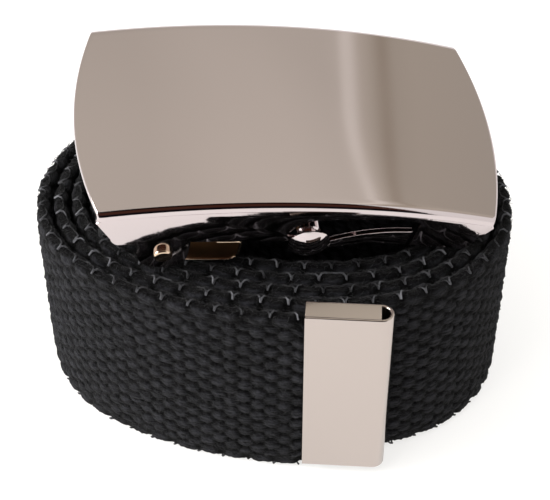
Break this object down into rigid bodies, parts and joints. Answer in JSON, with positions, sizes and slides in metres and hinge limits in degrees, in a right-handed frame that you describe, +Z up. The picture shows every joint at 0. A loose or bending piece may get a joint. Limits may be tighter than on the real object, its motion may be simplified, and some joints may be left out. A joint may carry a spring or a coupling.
{
  "type": "canvas web belt",
  "caption": "Woven canvas web belt rolled up on its edge, with a roller slide buckle lying on the roll and a folded metal tip.",
  "frame": {"origin": "middle of the outline seen from above, on the surface the belt stands on", "axes": "+Z up across the web, +X along the roll's longer side, the tip in front at -Y"},
  "size_m": [0.0932, 0.0824, 0.0695],
  "materials": {
    "web": "plain-woven black cotton webbing",
    "tip_plate": "bright nickel plate",
    "buckle_plate": "bright nickel plate",
    "roller_steel": "bright nickel plate",
    "clamp_steel": "bright rolled steel, warm tint",
    "pin_steel": "bright nickel plate"
  },
  "bodies": {
    "belt": {"web": "web", "tip": "tip_plate", "buckle_frame": "buckle_plate", "clamp_lever": "clamp_steel", "clamp_pin": "pin_steel"},
    "roller": {"roller": "roller_steel"}
  },
  "joints": [
    {"name": "roller_travel", "type": "hinge", "parent": "belt", "child": "roller", "pos_m": [0.01624, 0.00456, 0.02712], "axis": [-0.1047, 0.9352, 0.3382], "range_deg": [0, 32]}
  ]
}
